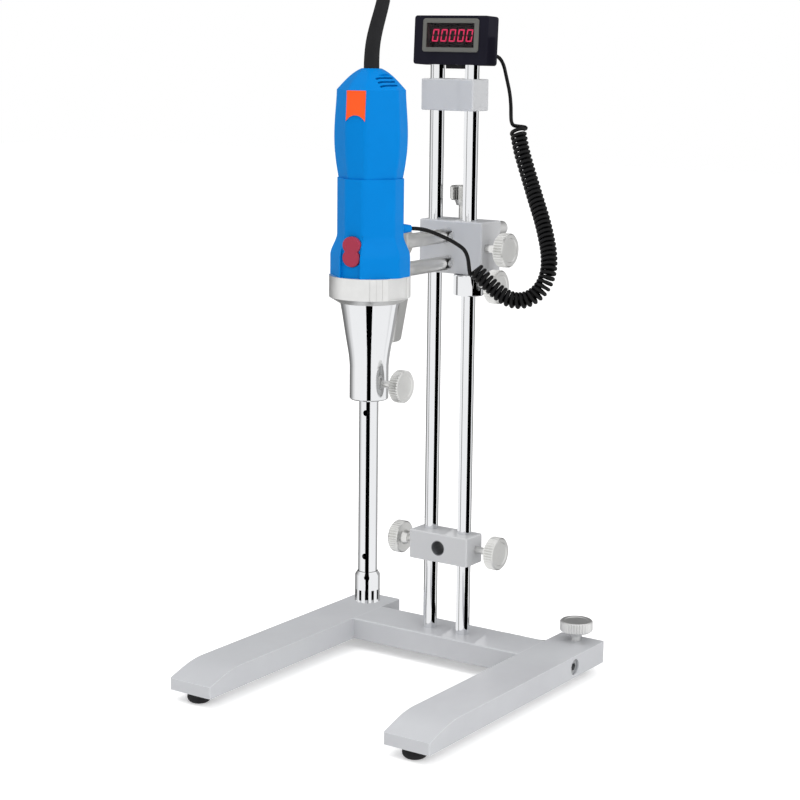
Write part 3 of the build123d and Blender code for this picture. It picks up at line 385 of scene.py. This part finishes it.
def frames(line):
    # a tangent and a side at each point, carried along without twist
    tangents = []
    for i in range(len(line)):
        before, after = line[max(i - 1, 0)], line[min(i + 1, len(line) - 1)]
        tangents.append((after - before).normalized())
    side = tangents[0].orthogonal().normalized()
    carried = []
    for i, tangent in enumerate(tangents):
        if i > 0:
            side = tangents[i - 1].rotation_difference(tangent) @ side
        side = (side - tangent * side.dot(tangent)).normalized()
        carried.append((tangent, side))
    return carried


def tubeAlong(name, line, radius, finish, sides=14):
    vertices, faces = [], []
    for point, (tangent, side) in zip(line, frames(line)):
        other = tangent.cross(side)
        for j in range(sides):
            angle = 2 * pi * j / sides
            vertices.append(point + (side * cos(angle) + other * sin(angle)) * radius)
    for i in range(len(line) - 1):
        for j in range(sides):
            k = (j + 1) % sides
            faces.append((i * sides + j, i * sides + k, (i + 1) * sides + k, (i + 1) * sides + j))
    faces.append(tuple(reversed(range(sides))))
    faces.append(tuple(range(len(vertices) - sides, len(vertices))))
    return newPiece(name, meshFrom(name, vertices, faces), finish)


# --- curly cord from the display to the motor ---

curlyCord = {
    "diameter": 0.0032,
    "coilOuter": 0.0140,
    "pitch": 0.0040,
    "stepsPerTurn": 16,
    # each lead runs to its gland from a short tangent that leaves the coil's last turn
    "topLead": [
        mm(24.0, 84.95, 524.96), mm(24.05, 93.0, 524.6), mm(25.5, 98.5, 523.2), mm(29.2, 99.5, 517.2),
        mm(33.4, 97.0, 507.5), mm(39.1, 94.0, 494.0), mm(44.9, 86.4, 483.4), mm(49.6, 78.8, 476.4),
        mm(51.6, 76.2, 471.6), mm(52.5, 77.6, 468.4), mm(55.4, 81.6, 467.7), mm(59.0, 83.4, 467.4),
        mm(62.7, 82.2, 466.8),
    ],
    "coil": [
        mm(57.6, 76.8, 464.6), mm(60.6, 75.0, 457.0), mm(64.0, 73.0, 448.0), mm(71.0, 70.0, 434.0),
        mm(77.8, 67.0, 421.0), mm(85.2, 63.0, 408.0), mm(92.5, 59.0, 396.0), mm(99.7, 54.0, 383.0),
        mm(106.3, 48.5, 369.5), mm(110.3, 42.5, 356.0), mm(109.0, 36.3, 343.6), mm(102.6, 30.5, 334.8),
        mm(92.8, 25.2, 331.2), mm(82.6, 20.7, 334.0), mm(73.4, 17.4, 341.4), mm(65.0, 14.8, 349.4),
        mm(56.8, 11.8, 357.6),
    ],
    "bottomLead": [
        mm(56.5, 4.0, 370.6), mm(50.0, -2.6, 377.6), mm(41.8, -11.5, 383.6), mm(31.57, -23.75, 389.95),
        mm(25.55, -30.92, 390.0),
    ],
    "topTurn": 200, "tangent": 0.0016,
}


def evenSteps(line, step):
    # the same line again, in equal steps
    out, rest = [line[0].copy()], step
    for before, after in zip(line, line[1:]):
        run = (after - before).length
        while run >= rest:
            before = before.lerp(after, rest / run)
            out.append(before.copy())
            run, rest = (after - before).length, step
        rest -= run
    return out


def helixAlong(line, radius, pitch, stepsPerTurn, firstTurn):
    # even turns about the line, all of the same radius
    fine = evenSteps(line, pitch / stepsPerTurn)
    points = []
    for i, (point, (tangent, side)) in enumerate(zip(fine, frames(fine))):
        turn = firstTurn + 2 * pi * i / stepsPerTurn
        points.append(point + (side * cos(turn) + tangent.cross(side) * sin(turn)) * radius)
    return points


coilRadius = (curlyCord["coilOuter"] - curlyCord["diameter"]) / 2
coilLine = cordLine(curlyCord["coil"], 24)
helix = helixAlong(
    coilLine, coilRadius, curlyCord["pitch"], curlyCord["stepsPerTurn"], radians(curlyCord["topTurn"]),
)
# the coil ends where its turn already heads for the lower gland
towardsGland = curlyCord["bottomLead"][0] - helix[-1]
helix = helix[:1 + max(
    range(len(helix) - curlyCord["stepsPerTurn"], len(helix)),
    key=lambda k: (helix[k] - helix[k - 1]).dot(towardsGland),
)]
tangentStart = (helix[0] - helix[1]).normalized() * curlyCord["tangent"]
tangentEnd = (helix[-1] - helix[-2]).normalized() * curlyCord["tangent"]
topLeadLine = cordLine(curlyCord["topLead"] + [helix[0] + tangentStart, helix[0]])
curlyLine = topLeadLine + helix[1:]
curlyPiece = tubeAlong("curlyCord", curlyLine, curlyCord["diameter"] / 2, "cableJacket", 8)
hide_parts("curly_cord_top_lead", "curly_cord_coil")
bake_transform(curlyPiece)

bottomLeadLine = cordLine([helix[-1], helix[-1] + tangentEnd * 2] + curlyCord["bottomLead"])
bottomLead = tubeAlong("curlyCordBottomLead", bottomLeadLine, curlyCord["diameter"] / 2, "cableJacket", 10)
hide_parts("curly_cord_bottom_lead")
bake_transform(bottomLead)

# --- mains cord ---

mainsCord = {
    "diameter": 0.0075,
    "upper": [
        mm(5.6, -43.4, 568.27), mm(5.5, -33.8, 594.0), mm(0.6, -17.5, 619.4), mm(-11.5, 4.4, 634.5),
        mm(-28.0, 27.0, 632.0), mm(-46.4, 44.6, 613.0), mm(-63.5, 55.8, 579.0), mm(-79.7, 66.4, 533.0),
        mm(-91.8, 79.9, 473.0),
    ],
    "lower": [
        mm(-91.8, 79.9, 473.0), mm(-103.9, 95.9, 398.0), mm(-112.2, 109.6, 321.0), mm(-119.5, 119.1, 244.0),
        mm(-124.4, 125.5, 174.0), mm(-126.8, 129.9, 115.0), mm(-128.2, 133.2, 69.0), mm(-128.2, 131.4, 44.0),
        mm(-124.0, 130.4, 29.0), mm(-116.0, 129.8, 17.0), mm(-105.0, 130.2, 8.4), mm(-92.0, 132.2, 3.8),
    ],
    # five runs folded to and fro, two folds at each end one over the other, tied in the middle
    "hank": [
        mm(-76, 136.6, 3.8), mm(-57, 137.2, 3.8), mm(-36, 130, 4.0), mm(-12, 120.8, 4.95),
        mm(9, 124.5, 4.0), mm(27, 129, 3.8), mm(45.6, 129.25, 3.8), mm(54.25, 120.6, 3.8),
        mm(54.25, 108.4, 3.8), mm(45.6, 99.75, 3.8), mm(28, 100.1, 3.8), mm(10, 104.8, 4.0),
        mm(-12, 108.2, 4.95), mm(-32, 104.8, 4.0), mm(-48, 100.1, 3.8), mm(-65.6, 99.75, 3.8),
        mm(-74.25, 108.4, 3.8), mm(-74.25, 120.6, 3.8), mm(-65.6, 129.25, 3.8), mm(-50, 128.6, 3.8),
        mm(-33, 120.5, 4.0), mm(-12, 114.5, 4.95), mm(5, 114.5, 5.4), mm(17, 117.5, 10.4),
        mm(29, 127.6, 11.3), mm(45.6, 129.25, 11.3), mm(54.25, 120.6, 11.3), mm(54.25, 108.4, 11.3),
        mm(45.6, 99.75, 11.3), mm(28, 100.1, 11.3), mm(10, 107, 11.2), mm(-12, 111.35, 10.05),
        mm(-32, 106.5, 11.2), mm(-48, 100.1, 11.3), mm(-65.6, 99.75, 11.3), mm(-74.25, 108.4, 11.3),
        mm(-74.25, 120.6, 11.3), mm(-65.6, 129.0, 11.3), mm(-48, 128.6, 11.3), mm(-32, 122.5, 11.2),
        mm(-12, 117.65, 10.05), mm(6, 121.5, 11.2), mm(20, 128.6, 11.2), mm(32, 135, 9.0),
        mm(43, 137, 7.0), mm(52.6, 137, 7.0),
    ],
}

upperLine = cordLine(mainsCord["upper"])
upperMains = tubeAlong("mainsCordUpper", upperLine, mainsCord["diameter"] / 2, "cableJacket", 20)
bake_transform(upperMains)

lowerLine = cordLine(mainsCord["lower"] + mainsCord["hank"])
lowerMains = tubeAlong("mainsCordLower", lowerLine, mainsCord["diameter"] / 2, "cableJacket", 20)
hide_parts("mains_cord", "mains_cord_hank")
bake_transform(lowerMains)
print("mains cord laid:", round(lineLength(upperLine) + lineLength(lowerLine), 3), "m")

# --- the display's five slanted zeros, just in front of their bodies ---

digits = {
    "count": 5, "pitch": 0.0083, "size": (0.0058, 0.0102), "stroke": 0.00105, "slant": 0.14, "depth": 0.0027,
    "thickness": 0.0002, "middle": 0.0239, "gap": 0.00025,
}
caseFront = {"x": -0.001, "y": 0.0705, "z": 0.5167, "half": 0.00775, "tilt": radians(3)}


def onFace(x, height, depth):
    # x from the case's middle, height over its lower edge, depth behind its front
    ahead = caseFront["half"] - depth
    tilt = caseFront["tilt"]
    return Vector((
        caseFront["x"] + x,
        caseFront["y"] - ahead * cos(tilt) + height * sin(tilt),
        caseFront["z"] + ahead * sin(tilt) + height * cos(tilt),
    ))


def zeroStrokes():
    # six bars with mitred ends, as (four corners) round the middle of one digit
    half, tall = digits["size"][0] / 2, digits["size"][1] / 2
    bar, space = digits["stroke"], digits["gap"]
    upright = lambda side, low, high: [
        (side * half, low + space), (side * (half - bar), low + space + bar * 0.8),
        (side * (half - bar), high - space - bar * 0.8), (side * half, high - space),
    ]
    level = lambda side: [
        (-half + space, side * tall), (half - space, side * tall),
        (half - bar - space, side * (tall - bar)), (-half + bar + space, side * (tall - bar)),
    ]
    return [level(-1), level(1)] + [upright(side, low, low + tall) for side in (-1, 1) for low in (-tall, 0)]


digitVertices, digitFaces = [], []
for place in range(digits["count"]):
    centre = (place - (digits["count"] - 1) / 2) * digits["pitch"]
    for stroke in zeroStrokes():
        start = len(digitVertices)
        for depth in (digits["depth"], digits["depth"] + digits["thickness"]):
            for x, height in stroke:
                leaning = centre + x + height * digits["slant"]
                digitVertices.append(onFace(leaning, digits["middle"] + height, depth))
        digitFaces.append(tuple(start + i for i in range(4)))
        digitFaces.append(tuple(start + 4 + i for i in reversed(range(4))))
        for i in range(4):
            j = (i + 1) % 4
            digitFaces.append((start + i, start + 4 + i, start + 4 + j, start + j))
digitMesh = meshFrom("displayDigits", digitVertices, digitFaces, smooth=False)
digitPiece = newPiece("displayDigits", digitMesh, "digitGlow")
bm = bmesh.new()
bm.from_mesh(digitPiece.data)
bmesh.ops.recalc_face_normals(bm, faces=bm.faces)
bm.to_mesh(digitPiece.data)
bm.free()
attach(digitPiece, "stand")
print("digits set")

# --- studio ---

studio = {
    "cameraPlace": Vector((0.87766, -1.30079, 0.54120)),
    "yaw": 34.141, "pitch": 10.733, "roll": 0.626,
    "focalPixels": 1928.61, "imagePixels": 800, "sensor": 36.0,
    "skyLevel": 0.86,
    "keyPower": 17, "fillPower": 17,  # watts
}

yaw, pitch, roll = (radians(studio[turn]) for turn in ("yaw", "pitch", "roll"))
ahead = Vector((-sin(yaw) * cos(pitch), cos(yaw) * cos(pitch), -sin(pitch)))
across = Vector((cos(yaw), sin(yaw), 0))
up = across.cross(ahead)
right = across * cos(roll) + up * sin(roll)
top = up * cos(roll) - across * sin(roll)
cameraData = bpy.data.cameras.new("camera")
cameraData.sensor_width = studio["sensor"]
cameraData.lens = studio["focalPixels"] / studio["imagePixels"] * studio["sensor"]
camera = bpy.data.objects.new("camera", cameraData)
scene.collection.objects.link(camera)
turned = Matrix((right, top, -ahead)).transposed().to_4x4()
camera.matrix_world = Matrix.Translation(studio["cameraPlace"]) @ turned
scene.camera = camera

# world: plain level light, white where it is seen, with soft grey bands in what metal mirrors
world = bpy.data.worlds.new("studio")
scene.world = world
world.use_nodes = True
tree = world.node_tree
tree.nodes.clear()


def worldNode(kind, **settings):
    node = tree.nodes.new(kind)
    for label, value in settings.items():
        setattr(node, label, value)
    return node


outlet = worldNode("ShaderNodeOutputWorld")
plain = worldNode("ShaderNodeBackground")
plain.inputs["Color"].default_value = (1, 1, 1, 1)
plain.inputs["Strength"].default_value = studio["skyLevel"]
seen = worldNode("ShaderNodeBackground")
seen.inputs["Color"].default_value = (1, 1, 1, 1)
mirrored = worldNode("ShaderNodeBackground")
coords = worldNode("ShaderNodeTexCoord")
parted = worldNode("ShaderNodeSeparateXYZ")
tree.links.new(coords.outputs["Generated"], parted.inputs[0])
azimuth = worldNode("ShaderNodeMath", operation="ARCTAN2")
tree.links.new(parted.outputs["X"], azimuth.inputs[0])
tree.links.new(parted.outputs["Y"], azimuth.inputs[1])
share = worldNode("ShaderNodeMapRange")
share.inputs["From Min"].default_value = -pi
share.inputs["From Max"].default_value = pi
tree.links.new(azimuth.outputs[0], share.inputs["Value"])
bands = worldNode("ShaderNodeValToRGB")
bands.color_ramp.interpolation = "EASE"
tree.links.new(share.outputs["Result"], bands.inputs["Fac"])
tree.links.new(bands.outputs["Color"], mirrored.inputs["Color"])
# (bearing from +Y towards +X in degrees, grey); the camera stands near 146
studioBands = [
    (-180, 1.0), (-128, 1.0), (-110, 0.78), (-92, 0.4), (-75, 0.2), (-35, 0.16), (5, 0.2), (24, 0.5),
    (42, 0.85), (58, 1.0), (180, 1.0),
]
stops = bands.color_ramp.elements
while len(stops) > 1:
    stops.remove(stops[-1])
stops[0].position = 0
stops[0].color = (1, 1, 1, 1)
for bearing, grey in studioBands[1:]:
    stop = stops.new((bearing + 180) / 360)
    stop.color = (grey, grey, grey, 1)
path = worldNode("ShaderNodeLightPath")
firstMix = worldNode("ShaderNodeMixShader")
secondMix = worldNode("ShaderNodeMixShader")
direct = worldNode("ShaderNodeMath", operation="MAXIMUM")
tree.links.new(path.outputs["Is Camera Ray"], direct.inputs[0])
tree.links.new(path.outputs["Is Transmission Ray"], direct.inputs[1])
tree.links.new(path.outputs["Is Glossy Ray"], firstMix.inputs[0])
tree.links.new(plain.outputs[0], firstMix.inputs[1])
tree.links.new(mirrored.outputs[0], firstMix.inputs[2])
tree.links.new(direct.outputs[0], secondMix.inputs[0])
tree.links.new(firstMix.outputs[0], secondMix.inputs[1])
tree.links.new(seen.outputs[0], secondMix.inputs[2])
tree.links.new(secondMix.outputs[0], outlet.inputs["Surface"])

# floor: pale, keeps the shadow, and blends into the white
floor = {"half": 6.0, "height": -0.0002, "grey": 0.9, "lift": 0.35}
floorCorners = [
    (x * floor["half"], y * floor["half"], floor["height"]) for x, y in ((-1, -1), (1, -1), (1, 1), (-1, 1))
]
floorMesh = meshFrom("floor", floorCorners, [(0, 1, 2, 3)], smooth=False)
floorPaint = newFinish("studioFloor", (floor["grey"],) * 3, 0.9)
finishes["studioFloor"] = floorPaint
floorPiece = newPiece("studioFloor", floorMesh, "studioFloor")
floorPiece.visible_glossy = False
lift = addNode(floorPaint, "ShaderNodeLightPath")
glow = addNode(floorPaint, "ShaderNodeMath", operation="MULTIPLY")
glow.inputs[1].default_value = floor["lift"]
wire(floorPaint, lift, "Is Camera Ray", glow, 0)
shaderOf(floorPaint).inputs["Emission Color"].default_value = (1, 1, 1, 1)
wire(floorPaint, glow, 0, shaderOf(floorPaint), "Emission Strength")

# Studio cards that only mirror rays see, no part of the object: they give the polished metal its
# dark and grey lines. One side, towards the metal, is grey; the other, called back, is white.
# axis: the mirroring cylinder; bearing and distance: where the card stands from it (mm, degrees);
# span: its two edges, towards smaller bearings; z: its foot and head
rodHeights = (2, 540)
cards = {
    "toolCard": {
        "axis": (0, -51.1), "bearing": 149, "distance": 40, "grey": 0.0,
        # (height, two edges): narrow for the head, wide for the tube, narrow again for the cone
        "rows": [
            (50, -9.8, 9.0), (95, -9.8, 9.0), (95, -18.8, 13.3), (246, -18.8, 13.3),
            (246, -4.6, 8.8), (322, -4.6, 8.8),
        ],
    },
    # white screens: the tool doesn't mirror the rods' cards, nor the rods the tool's
    "toolBlocker": {
        "axis": (0, -51.1), "bearing": 49.5, "distance": 50, "span": (-10, 10), "z": (2, 620), "grey": 1.0,
    },
    "rodBlocker": {
        "axis": (0, 69.5), "bearing": 183, "distance": 81.6, "span": (-35, 35), "z": (2, 620), "grey": 1.0,
        "back": 0.42,
    },
}
for side, x in (("left", -17), ("right", 17)):
    cards[side + "RodCard"] = {
        "axis": (x, 69.5), "bearing": 80, "distance": 20, "span": (-20.3, 3.9), "z": rodHeights, "grey": 0.0,
    }
    cards[side + "RodLine"] = {
        "axis": (x, 69.5), "bearing": 220, "distance": 15, "span": (2.2, 5.2), "z": rodHeights, "grey": 0.3,
    }
for name, card in cards.items():
    bearing = radians(card["bearing"])
    outward = Vector((sin(bearing), cos(bearing), 0))
    sideways = Vector((-cos(bearing), sin(bearing), 0))
    foot = Vector((*card["axis"], 0)) + outward * card["distance"]
    corners = []
    rows = card.get("rows") or [(height, *card["span"]) for height in card["z"]]
    for height, first, last in rows:
        for edge in (first, last):
            corner = foot + sideways * edge
            corner.z = height
            corners.append(corner / 1000)
    faces = [
        (2 * k, 2 * k + 1, 2 * k + 3, 2 * k + 2)
        for k in range(len(rows) - 1) if rows[k][0] < rows[k + 1][0]
    ]
    mesh = meshFrom(name, corners, faces, smooth=False)
    if mesh.polygons[0].normal.dot(outward) > 0:
        mesh.flip_normals()
    paint = bpy.data.materials.new(name)
    paint.use_nodes = True
    flat = shaderOf(paint)
    flat.inputs["Base Color"].default_value = (0, 0, 0, 1)
    flat.inputs["Specular IOR Level"].default_value = 0
    flat.inputs["Emission Color"].default_value = (1, 1, 1, 1)
    facing = addNode(paint, "ShaderNodeNewGeometry")
    sides = spread(paint, facing, "Backfacing", card["grey"], card.get("back", 1.0), 0.0, 1.0)
    wire(paint, sides, "Result", flat, "Emission Strength")
    finishes[name] = paint
    piece = newPiece(name, mesh, name)
    piece.visible_camera = False
    piece.visible_diffuse = False
    piece.visible_shadow = False
    piece.visible_transmission = False


def areaLight(name, place, target, size, power):
    data = bpy.data.lights.new(name, "AREA")
    data.shape = "SQUARE"
    data.size = size
    data.energy = power
    light = bpy.data.objects.new(name, data)
    scene.collection.objects.link(light)
    light.location = place
    light.rotation_euler = (Vector(target) - Vector(place)).to_track_quat("-Z", "Y").to_euler()
    light.visible_glossy = False
    return light


areaLight("keyLight", (-0.7, -0.6, 2.7), (0, 0, 0.3), 1.6, studio["keyPower"])
areaLight("fillLight", (1.8, -0.6, 1.4), (0, 0, 0.3), 1.8, studio["fillPower"])
scene.view_settings.view_transform = "Standard"
print("studio ready")
